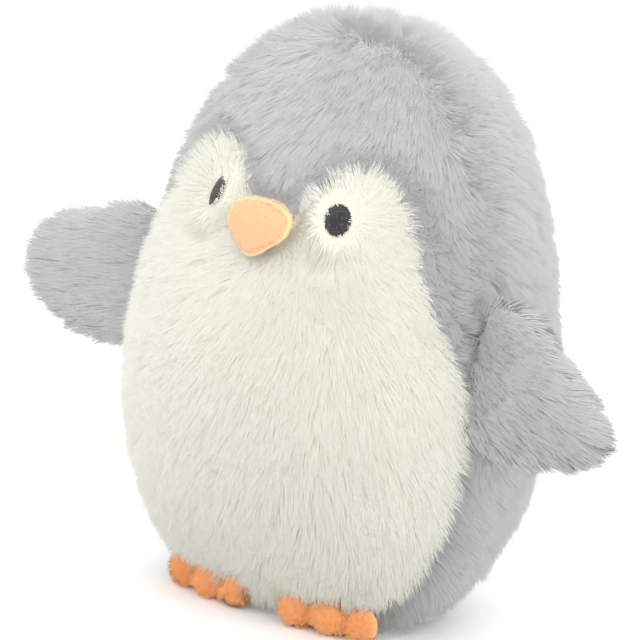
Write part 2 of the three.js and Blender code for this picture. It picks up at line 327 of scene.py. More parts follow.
GREY_CLOTH = cloth_finish("grey_cloth", rgb(184, 184, 186), rgb(208, 208, 210), 0.7 * MM)
CREAM_CLOTH = cloth_finish("cream_cloth", rgb(228, 226, 208), rgb(244, 242, 226), 0.7 * MM)
PEACH_CLOTH = cloth_finish("peach_cloth", rgb(240, 180, 130), rgb(255, 215, 172), 0.5 * MM)
ORANGE_CLOTH = cloth_finish("orange_cloth", rgb(236, 158, 100), rgb(250, 190, 136), 0.5 * MM)
FIBRE = cloth_finish("fibre", rgb(225, 225, 222), rgb(250, 250, 248), 2.5 * MM)


def thread_finish(name, dark, fleck):
    """Glossy thread: near black, with paler flecks along the stitches."""
    finish = Finish(name, Roughness=0.5, Sheen_Weight=0.15)
    place = finish.node("ShaderNodeTexCoord", out="Object")
    flecks = finish.node("ShaderNodeTexNoise", None, {"Vector": place, "Scale": 900.0, "Detail": 2.0})
    sharp = finish.node("ShaderNodeMapRange", None, {"Value": flecks, "From Min": 0.55, "From Max": 0.75})
    finish.wear("Base Color", finish.mix(sharp, (*dark, 1), (*fleck, 1)))
    finish.wear("Roughness", sharp * 0.25 + 0.45)
    return finish.material


DARK_THREAD = thread_finish("dark_thread", rgb(24, 23, 22), rgb(84, 82, 78))
print("finishes:", ", ".join(m.name for m in bpy.data.materials))

# %% [markdown]
# ## Growing pile with Geometry Nodes
# One tree grows the pile of every piece. It scatters roots on the cloth and stands a slim spindle
# on each: two three-sided cones, base to base, which is the smallest closed form that can bow.
# Each hair leans along the combing, which the cloth carries as an attribute. Real pile falls into
# tufts, so the tree also scatters sparse tuft centres, and each hair's tip is drawn towards the
# tip of the nearest one. The other ways are a particle system and hair curves, and neither is a
# solid that another program can open.
#
# Real fibre is fine and lets light through. A hair here is thick and opaque, so its normals lean
# towards the cloth's, and the pile casts no shadow, which another renderer won't keep.

# %% The pile tree
HAIR_NUMBERS = ("Density", "Length", "Width", "Bow")
TUFT_NUMBERS = ("Tuft spacing", "Tuft pull", "Tuft stray", "Hair stray", "Softness")
WIDEST = 0.35


def new_tree(name, output, geometry, numbers):
    """A Geometry Nodes tree, and the wires of its inputs by name."""
    tree = bpy.data.node_groups.new(name, "GeometryNodeTree")
    floats = {number: "Float" for number in numbers}
    inputs = {geometry: "Geometry", **floats, "Seed": "Int", "Finish": "Material"}
    for label, kind in inputs.items():
        tree.interface.new_socket(label, in_out="INPUT", socket_type="NodeSocket" + kind)
    tree.interface.new_socket(output, in_out="OUTPUT", socket_type="NodeSocketGeometry")
    g = Graph(tree)
    return g, dict(zip(inputs, g.node("NodeGroupInput", out=tuple(range(len(inputs))))))


def finished(g, geometry, finish):
    """Dresses what a tree has made, and ends the tree with it."""
    dressed = g.node("GeometryNodeSetMaterial", None, {"Geometry": geometry, "Material": finish})
    g.put(g.tree.nodes.new("NodeGroupOutput").inputs[0], dressed)
    return g.tree


def carried(graph, kind, name):
    """An attribute that the cloth carries."""
    return graph.node("GeometryNodeInputNamedAttribute", {"data_type": kind}, {"Name": name})


def spindle(graph, bow):
    """One hair of unit length along z, bowed towards x, that knows its height."""
    sides = {"Vertices": 3, "Side Segments": 1}
    open_cone = {"fill_type": "NONE"}

    def cone(top, bottom, depth):
        values = {**sides, "Radius Top": top, "Radius Bottom": bottom, "Depth": depth}
        return graph.node("GeometryNodeMeshCone", open_cone, values)

    root, tip = cone(1.0, 0.0, WIDEST), cone(0.0, 1.0, 1 - WIDEST)
    raised = graph.node("GeometryNodeTransform", None, {"Geometry": tip, "Translation": (0, 0, WIDEST)})
    both = graph.tree.nodes.new("GeometryNodeJoinGeometry")
    for part in (root, raised):
        graph.tree.links.new(part.socket, both.inputs[0])
    joined = {"Geometry": Wire(graph, both.outputs[0]), "Distance": 0.01}
    whole = graph.node("GeometryNodeMergeByDistance", None, joined)
    place = graph.node("GeometryNodeInputPosition")
    x, y, z = graph.node("ShaderNodeSeparateXYZ", None, {0: place}, (0, 1, 2))
    along = graph.stored(whole, "along", z, domain="POINT")
    bent = graph.xyz(x + bow * 4 * z * (1 - z), y, z)
    return graph.node("GeometryNodeSetPosition", None, {"Geometry": along, "Position": bent})


def pile_tree():
    g, given = new_tree("pile", "Pile", "Cloth", HAIR_NUMBERS + TUFT_NUMBERS)
    seed = given["Seed"]

    def stray(amount, draw):
        """A random push in any direction."""
        values = {0: (-1, -1, -1), 1: (1, 1, 1), "Seed": seed + draw}
        push = g.node("FunctionNodeRandomValue", {"data_type": "FLOAT_VECTOR"}, values, 0)
        return g.scaled(push, amount)

    def scatter(density, draw):
        values = {"Mesh": given["Cloth"], "Density": density, "Seed": seed + draw}
        return g.node("GeometryNodeDistributePointsOnFaces", None, values, ("Points", "Normal"))

    cover = carried(g, "FLOAT", "cover")
    roots, normal = scatter(given["Density"] * cover, 1)
    tufts, _ = scatter(1 / (given["Tuft spacing"] * given["Tuft spacing"]), 2)
    comb = carried(g, "FLOAT_VECTOR", "comb")
    reach = carried(g, "FLOAT", "reach") * given["Length"]
    place = g.node("GeometryNodeInputPosition")

    def tip_of(amount, draw, length):
        lean = g.vector("NORMALIZE", g.vector("ADD", comb, stray(amount, draw)))
        return g.vector("ADD", place, g.scaled(lean, length))

    nearest = g.node("GeometryNodeSampleNearest", {"domain": "POINT"}, {"Geometry": tufts})
    tips = tip_of(given["Tuft stray"], 3, reach * g.chance(0.75, 1.25, seed + 4))
    tuft_tip = g.node(
        "GeometryNodeSampleIndex",
        {"data_type": "FLOAT_VECTOR", "domain": "POINT"},
        {"Geometry": tufts, "Value": tips, "Index": nearest},
    )
    own_tip = tip_of(given["Hair stray"], 5, reach * g.chance(0.75, 1.12, seed + 6))
    pull = given["Tuft pull"] * g.chance(0.3, 1.3, seed + 7)
    drawn = g.scaled(g.vector("SUBTRACT", tuft_tip, own_tip), pull)
    hair = g.vector("SUBTRACT", g.vector("ADD", own_tip, drawn), place)

    upright = g.node("FunctionNodeAlignRotationToVector", {"axis": "Z"}, {"Vector": hair})
    turned = g.node(
        "FunctionNodeAlignRotationToVector",
        {"axis": "X", "pivot_axis": "Z"},
        {"Rotation": upright, "Vector": normal},
    )
    half_width = given["Width"] * 0.5 * g.chance(0.7, 1.2, seed + 8)
    length = g.vector("LENGTH", hair, out=1)
    size = g.xyz(half_width, half_width, length)
    hairs = g.node(
        "GeometryNodeInstanceOnPoints",
        None,
        {"Points": roots, "Instance": spindle(g, given["Bow"]), "Rotation": turned, "Scale": size},
    )
    shaded = g.stored(hairs, "shade", g.chance(0.01, 0.98, seed + 9))
    upward = g.stored(shaded, "cloth_normal", normal, "FLOAT_VECTOR")
    real = g.node("GeometryNodeRealizeInstances", None, {"Geometry": upward})
    side = g.node("ShaderNodeMath", {"operation": "MODULO"}, {0: g.node("GeometryNodeInputIndex"), 1: 3.0})
    across = carried(g, "FLOAT", "shade") + side * 0.003
    # Hairs in the seam valleys run down into the chart's dark foot: painted shadow where the pile casts
    # none.
    valley, along = carried(g, "FLOAT", "valley"), carried(g, "FLOAT", "along")
    height = (1 - valley) * VALLEY_TOP + along * (0.98 - VALLEY_TOP - valley * 0.4) + 0.01
    charted = g.stored(real, HAIR_CHART, g.xyz(across, height), "FLOAT2", "CORNER")
    smooth = g.node("GeometryNodeSetShadeSmooth", None, {"Geometry": charted})
    own = g.scaled(g.node("GeometryNodeInputNormal"), 1 - given["Softness"])
    soft = g.vector("ADD", own, g.scaled(carried(g, "FLOAT_VECTOR", "cloth_normal"), given["Softness"]))
    softened = g.node(
        "GeometryNodeSetMeshNormal",
        {"mode": "FREE", "domain": "POINT"},
        {"Mesh": smooth, "Custom Normal": g.vector("NORMALIZE", soft)},
    )
    return finished(g, softened, given["Finish"])


PILE_TREE = pile_tree()
print("pile tree:", len(PILE_TREE.nodes), "nodes")

# %% Running a tree on a mesh
FLOOR_CLEARANCE = 0.2 * MM
pieces = {}


def sockets_of(tree):
    return {s.name: s.identifier for s in tree.interface.items_tree if s.in_out == "INPUT"}


def read(values, field):
    rows = np.empty(len(values) * 3, np.float32)
    values.foreach_get(field, rows)
    return rows.reshape(-1, 3).astype(float)


def places_of(mesh):
    return read(mesh.vertices, "co")


def vertex_normals(mesh):
    return read(mesh.vertex_normals, "vector")


def move_to(mesh, places):
    mesh.vertices.foreach_set("co", np.asarray(places, np.float32).ravel())
    mesh.update()


def made_real(piece):
    """The piece with all its modifiers applied, as a plain mesh."""
    shown = piece.evaluated_get(bpy.context.evaluated_depsgraph_get())
    mesh = bpy.data.meshes.new_from_object(shown)
    piece.modifiers.clear()
    piece.data = mesh
    return piece


def run_tree(piece, tree, numbers):
    """Applies a Geometry Nodes tree with these named inputs."""
    modifier = piece.modifiers.new(tree.name, "NODES")
    modifier.node_group = tree
    sockets = sockets_of(tree)
    for name, value in numbers.items():
        modifier[sockets[name]] = value
    return made_real(piece)


def grow(name, cloth, kind, seed):
    """The pile of one sheet of cloth, as a piece of its own."""
    piece = run_tree(placed(name, cloth.copy()), PILE_TREE, {**kind, "Seed": seed})
    mesh = piece.data
    for spare in ("along", "shade", "cloth_normal", "comb", "reach", "cover", "valley"):
        if spare in mesh.attributes:
            mesh.attributes.remove(mesh.attributes[spare])
    places = places_of(mesh)
    places[:, 2] = np.maximum(places[:, 2], FLOOR_CLEARANCE)
    move_to(mesh, places)
    piece.visible_shadow = False
    pieces[name] = piece
    print(name, "has", len(mesh.polygons) // 6, "hairs")
    return piece


print("tree inputs:", ", ".join(sockets_of(PILE_TREE)))

# %% [markdown]
# ## The stuffed skin
# The body is a bag of cloth panels, blown tight by its fibre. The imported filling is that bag's
# inner form, cut from flat facets, so it is remeshed evenly, smoothed and then inflated with
# Blender's Cloth while its seams are held: the panels crown between the seams, and the seams
# stay as valleys. Remeshing rubs out seams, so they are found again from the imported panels.

# %% Panels and seams
PANELS = ["belly_panel", "crown_panel", "back_panel_left", "back_panel_right", "base_panel"]
BELLY, CROWN, BACK_LEFT, BACK_RIGHT, BASE = range(5)


def search_tree(*names):
    """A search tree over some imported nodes."""
    points, faces = [], []
    for name in names:
        mesh = nodes[name].data
        faces += [[len(points) + i for i in p.vertices] for p in mesh.polygons]
        points += [v.co.copy() for v in mesh.vertices]
    return BVHTree.FromPolygons(points, faces)


def distances(tree, points):
    return np.array([tree.find_nearest(Vector(p))[3] for p in points])


PANEL_TREES = [search_tree(name) for name in PANELS]


def panel_distances(points):
    return np.stack([distances(tree, points) for tree in PANEL_TREES])


def seam_closeness(apart, width):
    """1 on a seam between two panels, falling to 0 at width from it."""
    near = np.sort(apart, 0)
    return np.clip(1 - (near[1] - near[0]) / width, 0, 1)


print("panels:", ", ".join(PANELS))

# %% Remeshing and smoothing
def merged(piece, reach=0.02 * MM):
    edit = bmesh.new()
    edit.from_mesh(piece.data)
    bmesh.ops.remove_doubles(edit, verts=edit.verts, dist=reach)
    edit.to_mesh(piece.data)
    edit.free()
    return piece


def with_modifier(piece, kind, **settings):
    modifier = piece.modifiers.new(kind.lower(), kind)
    for key, value in settings.items():
        setattr(modifier, key, value)
    return made_real(piece)


def subdivided(piece):
    return with_modifier(piece, "SUBSURF", levels=1, render_levels=1)


def evened(name, sources, voxel, rounds):
    """A merged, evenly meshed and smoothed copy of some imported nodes."""
    whole = bmesh.new()
    for source in sources:
        whole.from_mesh(nodes[source].data)
    mesh = bpy.data.meshes.new(name)
    whole.to_mesh(mesh)
    whole.free()
    piece = merged(placed(name, mesh))
    with_modifier(piece, "REMESH", mode="VOXEL", voxel_size=voxel, use_smooth_shade=True)
    return with_modifier(piece, "SMOOTH", factor=0.5, iterations=rounds)


BODY_VOXEL = 5.5 * MM
body_skin = evened("body_skin", ["body_filling"], BODY_VOXEL, 5)
print("body skin:", len(body_skin.data.vertices), "points")

# %% Inflating a form between its seams
BLOW_FRAMES = 20


def inflated(piece, held, pressure, cap):
    """Blows a closed cloth up while its held points stay, and caps how far any point moves."""
    before = places_of(piece.data)
    group = piece.vertex_groups.new(name="held")
    for index in np.flatnonzero(held > 0.05):
        group.add([int(index)], float(held[index]), "REPLACE")
    cloth = piece.modifiers.new("cloth", "CLOTH")
    cloth.settings.vertex_group_mass = "held"
    cloth.settings.tension_stiffness = cloth.settings.compression_stiffness = 2
    cloth.settings.use_pressure = True
    cloth.settings.uniform_pressure_force = pressure
    cloth.settings.effector_weights.gravity = 0
    cloth.point_cache.frame_end = BLOW_FRAMES
    for step in range(1, BLOW_FRAMES + 1):
        bpy.context.scene.frame_set(step)
    after = places_of(piece.evaluated_get(bpy.context.evaluated_depsgraph_get()).data)
    piece.modifiers.clear()
    moved = after - before
    far = np.linalg.norm(moved, axis=1, keepdims=True)
    move_to(piece.data, before + moved * np.minimum(1, cap / np.maximum(far, 1e-9)))
    bpy.context.scene.frame_set(1)
    piece.vertex_groups.clear()
    print(piece.name, "swelled by up to", round(float(far.max()) / MM, 1), "mm")
    return piece


SEAM_WIDTH = 9 * MM
FLOOR_BAND = 1.5 * MM
BODY_SWELL = 4 * MM
PANEL_CROWN = 4.5 * MM
skin_places = places_of(body_skin.data)
sole_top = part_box("body_filling")[0].z + FLOOR_BAND
on_floor = skin_places[:, 2] < sole_top
held = np.maximum(seam_closeness(panel_distances(skin_places), SEAM_WIDTH) ** 2, on_floor)
inflated(body_skin, held, 100, BODY_SWELL)
crown = PANEL_CROWN * (1 - 0.45 * held) * (1 - on_floor)
move_to(body_skin.data, places_of(body_skin.data) + vertex_normals(body_skin.data) * crown[:, None])
subdivided(body_skin)
print("body skin:", len(body_skin.data.vertices), "points after subdivision")

# %% [markdown]
# ## Landmarks
# The dents round the eyes, the short pile round the beak and the way the pile is brushed at the
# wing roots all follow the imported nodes, so a change of pattern carries through to the pile. The
# eyes are turned a little outwards, as the face curves away there.

# %% Frames of the eyes and hinges
def node_points(name):
    return places_of(nodes[name].data)


EYE_TURN = math.radians(20)


def own_axes(name, outward):
    """An eye's centre and its side, up and out axes, with the eye turned a little outwards."""
    points = node_points(name)
    lowest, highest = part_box(name)
    centre = np.array((lowest + highest) / 2)
    _, _, axes = np.linalg.svd(points - points.mean(0), full_matrices=False)
    out = axes[2] * np.sign(axes[2] @ outward)
    up = axes[0] * np.sign(axes[0][2])
    turn = EYE_TURN * np.sign(centre[0])
    out = out * math.cos(turn) + np.cross(up, out) * math.sin(turn)
    return centre, np.cross(up, out), up, out


FRONT = np.array((0, -1, 0))
eyes = {side: own_axes("eye_" + side, FRONT) for side in ("left", "right")}
beak_low, beak_high = (np.array(corner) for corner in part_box("beak_cover"))
beak_centre = (beak_low + beak_high) / 2


def hinge(side):
    """A wing's hinge point and the way out along the wing."""
    joint = joints["wing_" + side + "_swing"]
    axis, point = np.array(joint["axis"]), np.array(joint["pos_m"])
    out = np.array((np.sign(point[0]), 0, 0))
    out = out - axis * (out @ axis)
    return point, out / np.linalg.norm(out)


hinges = {side: hinge(side) for side in ("left", "right")}
print("eye centres in mm:", [np.round(eyes[s][0] / MM, 1).tolist() for s in eyes])
print("wing hinges in mm:", [np.round(hinges[s][0] / MM, 1).tolist() for s in hinges])

# %% Distances in an eye's or the beak's own face
def eased(value, low, high):
    """0 below low, 1 above high, and smooth between. Low may be above high."""
    t = np.clip((value - low) / (high - low), 0, 1)
    return t * t * (3 - 2 * t)


def eye_size(side):
    """Half the width and half the height of an eye."""
    _, across, up, _ = eyes[side]
    points = node_points("eye_" + side)
    return np.ptp(points @ across) / 2, np.ptp(points @ up) / 2


def eye_ring(side, points):
    """1 on the rim of an eye, less inside it and more outside."""
    centre, across, up, _ = eyes[side]
    half = eye_size(side)
    away = points - centre
    return np.hypot(away @ across / half[0], away @ up / half[1])


def beak_ring(points):
    half = (beak_high - beak_low) / 2
    away = (points - beak_centre) / half
    return np.where(points[:, 1] < 0, np.hypot(away[:, 0], away[:, 2]), 9)


EYE_BACKING = 1.5, 2.6
mesh = body_skin.data
places = places_of(mesh)
for side, (centre, across, up, out) in eyes.items():
    ring = eye_ring(side, places)
    front = (places - centre) @ out
    rise = np.clip(-1.0 * MM - front, -6 * MM, 8 * MM) * eased(ring, EYE_BACKING[1], EYE_BACKING[0])
    rise[places[:, 1] > 0] = 0
    places += np.outer(rise, out)
    print(side, "eye backing raised by up to", round(float(rise.max()) / MM, 1), "mm")
move_to(mesh, places)

# %% [markdown]
# ## Cloth panels
# Each panel of a skin becomes a sheet of its own, closed into a thin shell, and the stuffing is
# the whole skin drawn in below it. A sheet that pile will grow on also carries, for each point,
# the way it is combed, how long the pile is there and how thickly it grows.

# %% Skins, sheets and shells
CLOTH_THICKNESS = 1.0 * MM


class Skin:
    """A closed skin, its normals, and which packed panel each of its faces belongs to."""

    def __init__(self, piece, panels, shifts=(0, 0, 0, 0, 0)):
        self.places, self.normals = places_of(piece.data), vertex_normals(piece.data)
        self.faces = [tuple(p.vertices) for p in piece.data.polygons]
        self.panels = panels
        trees = [search_tree(*panel) for panel in panels]
        self.apart = np.stack([distances(tree, self.places) + shift for tree, shift in zip(trees, shifts)])
        by_face = np.array([self.apart[:, list(face)].sum(1) for face in self.faces])
        self.panel_of = by_face.argmin(1)
        self.middles = np.array([self.places[list(face)].mean(0) for face in self.faces])

    def sheet(self, name, chosen, carried_values=None):
        """An open mesh of the chosen faces."""
        faces = [self.faces[i] for i in np.flatnonzero(chosen)]
        used = sorted({corner for face in faces for corner in face})
        renamed = {old: new for new, old in enumerate(used)}
        mesh = bpy.data.meshes.new(name)
        mesh.from_pydata(self.places[used].tolist(), [], [[renamed[c] for c in face] for face in faces])
        for key, values in (carried_values or {}).items():
            kind, field = ("FLOAT_VECTOR", "vector") if values.ndim == 2 else ("FLOAT", "value")
            mesh.attributes.new(key, kind, "POINT").data.foreach_set(
                field, np.asarray(values[used], np.float32).ravel()
            )
        return mesh

    def shell(self, name, panel, finish):
        """The cloth of one panel, as a thin closed piece."""
        piece = placed(name, self.sheet(name, self.panel_of == panel))
        with_modifier(piece, "SOLIDIFY", thickness=CLOTH_THICKNESS, offset=-1, use_even_offset=False)
        return painted(piece, finish)

    def stuffing(self, name, depth, shrink=1.0):
        """The stuffing inside the cloth: the skin drawn in, or shrunk about its middle."""
        middle = self.places.mean(0)
        inner = middle + (self.places - middle) * shrink - self.normals * depth
        mesh = bpy.data.meshes.new(name)
        mesh.from_pydata(inner.tolist(), [], self.faces)
        return painted(placed(name, mesh), FIBRE)


def painted(piece, finish):
    """Gives a piece one finish and smooth faces, and keeps it by name."""
    piece.data.materials.clear()
    piece.data.materials.append(finish)
    piece.data.shade_smooth()
    pieces[piece.name] = piece
    print(piece.name, "has", len(piece.data.polygons), "faces")
    return piece


def combed(normals, flow, lift):
    """Unit vectors along the cloth that follow a flow, raised towards the normal by lift."""
    flow = flow - normals * (flow * normals).sum(1, keepdims=True)
    flow = flow / np.maximum(np.linalg.norm(flow, axis=1, keepdims=True), 1e-6)
    lift = np.broadcast_to(lift, len(normals))[:, None]
    mixed = flow * (1 - lift) + normals * lift
    return mixed / np.maximum(np.linalg.norm(mixed, axis=1, keepdims=True), 1e-6)


def wander(points, size, seed):
    """A slow random drift of direction over a surface."""
    shift = Vector((seed * 7.3, seed * 3.1, seed))
    return np.array([noise.noise_vector(Vector(p) / size + shift) for p in points])


BELLY_DRAWN_IN = 2.5 * MM
skin = Skin(body_skin, [(name,) for name in PANELS], (BELLY_DRAWN_IN, 0, 0, 0, 0))
print("faces per panel:", np.bincount(skin.panel_of).tolist())

# %% [markdown]
# ## How the body is combed
# The crown is brushed forwards and down, and the back panels backwards and down, so the pile
# parts along the side seams. The belly's pile stands more upright and spreads out from the eyes
# and the middle of the belly. Near a seam the pile stands up and is a little shorter, and round
# the wing roots it is brushed over the seam.

# %% Combing the body
DRIFT_SIZE = 32 * MM
WING_ROOT_HALF = 32 * MM
WING_ROOT_REACH = 32 * MM, 8 * MM
WING_ROOT_TURN = 20 * MM
FACE_BELOW_EYES = 35 * MM, 12 * MM
BACK_SIDES = 60 * MM, 10 * MM
drift = wander(skin.places, DRIFT_SIZE, 1) * 0.45
fine_drift = wander(skin.places, DRIFT_SIZE / 3, 2)
x, y, z = skin.places.T
apart = skin.apart
SEAM_REACH = 14 * MM
to_back = apart[[BACK_LEFT, BACK_RIGHT]].min(0)
belly_edge = eased(np.abs(apart[BELLY] - np.minimum(apart[CROWN], to_back)), SEAM_REACH, 0)
side_edge = eased(np.abs(apart[CROWN] - to_back), SEAM_REACH, 0)


def stacked(x, y, z):
    return np.stack(np.broadcast_arrays(x, y, z), 1).astype(float)


def unit(vectors):
    return vectors / np.maximum(np.linalg.norm(vectors, axis=1, keepdims=True), 1e-9)


EYE_LEVEL = eyes["left"][0][2]
EYE_OUT = eyes["left"][0][0]
from_eye = unit(stacked(x - np.sign(x) * EYE_OUT, 0, z - EYE_LEVEL))
from_middle = unit(stacked(0.8 * x, 0, z - EYE_LEVEL))
on_face = eased(z, *(EYE_LEVEL - below for below in FACE_BELOW_EYES))[:, None]
belly_flow = from_eye * on_face + from_middle * (1 - on_face)
near_beak = eased(beak_ring(skin.places), 1.7, 1.1)[:, None]
belly_flow = belly_flow * (1 - near_beak) + unit(stacked(x, 0, z - beak_centre[2])) * near_beak
parted = 1 - 0.6 * side_edge
hinge_point = hinges["left"][0]
by_wing = np.hypot(y - hinge_point[1], np.maximum(np.abs(z - hinge_point[2]) - WING_ROOT_HALF, 0))
by_wing = eased(by_wing, *WING_ROOT_REACH)[:, None] * (np.abs(x) > 0.5 * hinge_point[0])[:, None]
to_wing = stacked(0, (hinge_point[1] - y) / WING_ROOT_TURN, -0.4)
crown_flow = stacked(0, (-0.3 - 0.3 * np.abs(x) / (80 * MM)) * parted, -1)
back_near = eased(y, *BACK_SIDES)
back_flow = stacked(0, (0.3 + 0.55 * back_near) * parted, -1)
crown_flow, back_flow = (flow * (1 - by_wing) + to_wing * by_wing for flow in (crown_flow, back_flow))
base_flow = stacked(x, y, 0)

flows = [belly_flow, crown_flow, back_flow, back_flow, base_flow]
lifts = [
    0.56 + 0.1 * fine_drift[:, 0] + 0.14 * belly_edge,
    0.42 + 0.25 * belly_edge + 0.35 * side_edge,
    0.44 + 0.35 * side_edge,
    0.44 + 0.35 * side_edge,
    np.full(len(x), 0.12),
]
combs = [combed(skin.normals, unit(flow) + drift, lift) for flow, lift in zip(flows, lifts)]
eye_gap = np.minimum(*(eye_ring(side, skin.places) for side in eyes))
eye_gap[y > 0] = 9
trim = (0.3 + 0.7 * eased(eye_gap, 1.1, 2.5)) * (0.4 + 0.6 * eased(beak_ring(skin.places), 0.8, 1.5))
reaches = [
    trim * (1 - 0.2 * belly_edge),
    trim * (1 - 0.4 * belly_edge - 0.2 * side_edge),
    1 - 0.2 * side_edge,
    1 - 0.2 * side_edge,
    np.full(len(x), 0.35),
]
cover = np.where((eye_gap < 1.08) | (beak_ring(skin.places) < 0.7), 0.0, 1.0)
cover = cover * np.where(z < sole_top, 0.35, 1.0)
# Painted shadow along the belly seam, and a little along the side seams, where the pile casts no shadow of
# its own.
valley = np.maximum(eased(belly_edge, 0.35, 1), 0.25 * eased(side_edge, 0.4, 1))
print("pile length as a share, least and most:", round(float(min(r.min() for r in reaches)), 2), 1.0)

# %% Body cloth and stuffing
body_stuffing = skin.stuffing("body_stuffing", CLOTH_THICKNESS + 0.4 * MM)
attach(body_stuffing, "body")
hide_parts("body_filling")
for index, name in enumerate(PANELS):
    cream = index == BELLY
    cloth = skin.shell(name.replace("panel", "cloth"), index, CREAM_CLOTH if cream else GREY_CLOTH)
    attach(cloth, "body")
    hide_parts(name)

# %% Body pile
LONG_PILE = {
    "Density": 1.7e6,
    "Length": 15.5 * MM,
    "Width": 0.42 * MM,
    "Bow": 5.0,
    "Tuft spacing": 7.0 * MM,
    "Tuft pull": 0.35,
    "Tuft stray": 0.4,
    "Hair stray": 0.16,
    "Softness": 1.0,
}
GREY_LONG = {**LONG_PILE, "Finish": GREY_PILE}
CREAM_LONG = {**LONG_PILE, "Length": 13.5 * MM, "Tuft pull": 0.25, "Finish": CREAM_PILE}
height = skin.middles[:, 2]


def bands(panel, levels):
    """The faces of a panel in bands of height, lowest first."""
    edges = [-1.0, *(level * MM for level in levels), 1.0]
    within = [(height >= low) & (height < high) for low, high in zip(edges, edges[1:])]
    return [(skin.panel_of == panel) & band for band in within]


growing = [
    ("belly_pile", BELLY, (50, 90, 140)),
    ("crown_pile", CROWN, (215, 245)),
    ("back_pile_left", BACK_LEFT, (75, 140, 205)),
    ("back_pile_right", BACK_RIGHT, (75, 140, 205)),
    ("base_pile", BASE, ()),
]
for name, panel, levels in growing:
    parts = bands(panel, levels)
    values = {"comb": combs[panel], "reach": reaches[panel], "cover": cover}
    # The grey panels carry the painted seam shadow.
    if panel != BELLY:
        values["valley"] = valley
    kind = CREAM_LONG if panel == BELLY else GREY_LONG
    for number, chosen in enumerate(parts, 1):
        label = name + ("_" + str(number) if len(parts) > 1 else "")
        pile = grow(label, skin.sheet(label, chosen, values), kind, 10 * panel + number)
        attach(pile, "body")
        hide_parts(PANELS[panel])
bpy.data.objects.remove(body_skin)

# %% [markdown]
# ## Wings
# A wing is two faces of the same grey pile with a little fibre between them, sewn into the side
# seam. Its skin is the whole packed wing, made thinner and shorter by the height of the pile, with
# a neck that goes in to the seam. The left one tapers and droops more.

# %% Wing skins
WING_THINNING = 0.5
WING_RIM_DRAWN_IN = 0.07
WING_LENGTH_KEPT = {"left": 0.76, "right": 0.86}
WING_STUFFING_SHARE = (0.8, 0.55, 0.8)
WING_TAPER = {"left": 0.42, "right": 0.12}
WING_SHOULDER = 0.25
SHOULDER_REACH = 45 * MM, 5 * MM
NECK_DEPTH = 12 * MM
WING_DROOP = {"left": 13 * MM, "right": -2 * MM}
NECK_REACH = 22 * MM
SEWN_EDGE = 6 * MM
WING_PANELS = ("front", "back")
WING_PARTS = ("front", "back", "filling")


def wing_skin(side):
    """A wing's skin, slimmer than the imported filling, with a neck to the body seam."""
    piece = evened("wing_skin_" + side, ["wing_" + side + "_" + part for part in WING_PARTS], 3.2 * MM, 3)
    point, out = hinges[side]
    places = places_of(piece.data)
    along = (places - point) @ out
    far = along / along.max()
    places[:, 1] += (point[1] - places[:, 1]) * WING_THINNING * eased(far, 0, 0.35)
    places[:, 2] += (places[:, 2].mean() - places[:, 2]) * WING_RIM_DRAWN_IN
    places -= np.outer(np.maximum(along, 0) * (1 - WING_LENGTH_KEPT[side]), out)
    places -= np.outer(NECK_DEPTH * eased(along, NECK_REACH, 0), out)
    share = np.clip(far, 0, 1)
    above = places[:, 2] - point[2]
    places[:, 2] += np.maximum(above, 0) * WING_SHOULDER * eased(along, *SHOULDER_REACH)
    places[:, 2] -= (above * WING_TAPER[side] + WING_DROOP[side]) * share**2
    move_to(piece.data, places)
    inflated(piece, (along < SEWN_EDGE).astype(float), 6, 2.5 * MM)
    return subdivided(piece)


def ride_wing(piece, side):
    point, out = hinges[side]
    start, end = tuple(point - out * SEWN_EDGE), tuple(point + out * NECK_REACH)
    "wing_" + side
    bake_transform(piece)


WING_LONG = {**GREY_LONG, "Length": 13 * MM}
for number, side in enumerate(hinges):
    piece = wing_skin(side)
    wing = Skin(piece, [("wing_" + side + "_" + face,) for face in WING_PANELS])
    point, out = hinges[side]
    along = (wing.places - point) @ out
    flow = unit(out + np.array((0, 0, -0.28)) + 0 * wing.places) + wander(wing.places, DRIFT_SIZE, 5) * 0.4
    edge = eased(np.abs(wing.apart[0] - wing.apart[1]), 7 * MM, 0)
    values = {
        "comb": combed(wing.normals, flow, 0.34 + 0.1 * edge),
        "reach": np.ones(len(along)),
        "cover": np.ones(len(along)),
    }
    stuffing = wing.stuffing("wing_stuffing_" + side, 0.0, WING_STUFFING_SHARE)
    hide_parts("wing_" + side + "_filling")
    ride_wing(stuffing, side)
    for index, face in enumerate(WING_PANELS):
        name = "wing_" + face + "_" + side
        cloth = wing.shell(name + "_cloth", index, GREY_CLOTH)
        sheet = wing.sheet(name, wing.panel_of == index, values)
        pile = grow(name + "_pile", sheet, WING_LONG, 60 + 4 * number + index)
        for part in (cloth, pile):
            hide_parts("wing_" + side + "_" + face)
            ride_wing(part, side)
    bpy.data.objects.remove(piece)

# %% [markdown]
# ## Beak
# The beak is a small padded shield in close-cut peach plush. It gets a proud rim where its front
# and back are sewn together, and pile under 2 mm long.

# %% Beak skin and pile
BEAK_NARROWING = 0.42
BEAK_FLATTENING = 0.3
beak_skin = evened("beak_skin", ["beak_filling"], 1.7 * MM, 3)
places, normals = places_of(beak_skin.data), vertex_normals(beak_skin.data)
places += normals * 1.0 * MM
lowest = places[:, 2].min()
drop = np.clip((beak_centre[2] - places[:, 2]) / (beak_centre[2] - lowest), 0, 1)
places[:, 0] *= 1 - BEAK_NARROWING * drop ** 1.3
front_face = places[:, 1] < beak_centre[1]
places[front_face, 1] += BEAK_FLATTENING * (beak_centre[1] - places[front_face, 1]) * (1 - drop[front_face])
move_to(beak_skin.data, places)
inflated(beak_skin, np.zeros(len(places)), 20, 0.6 * MM)
subdivided(beak_skin)
beak = Skin(beak_skin, [("beak_cover",)])
flow = unit(stacked(beak.places[:, 0], 0, -0.03 + 0 * beak.places[:, 0]))
values = {
    "comb": combed(beak.normals, flow + wander(beak.places, 6 * MM, 8), 0.6),
    "reach": np.ones(len(beak.places)),
    "cover": np.ones(len(beak.places)),
}
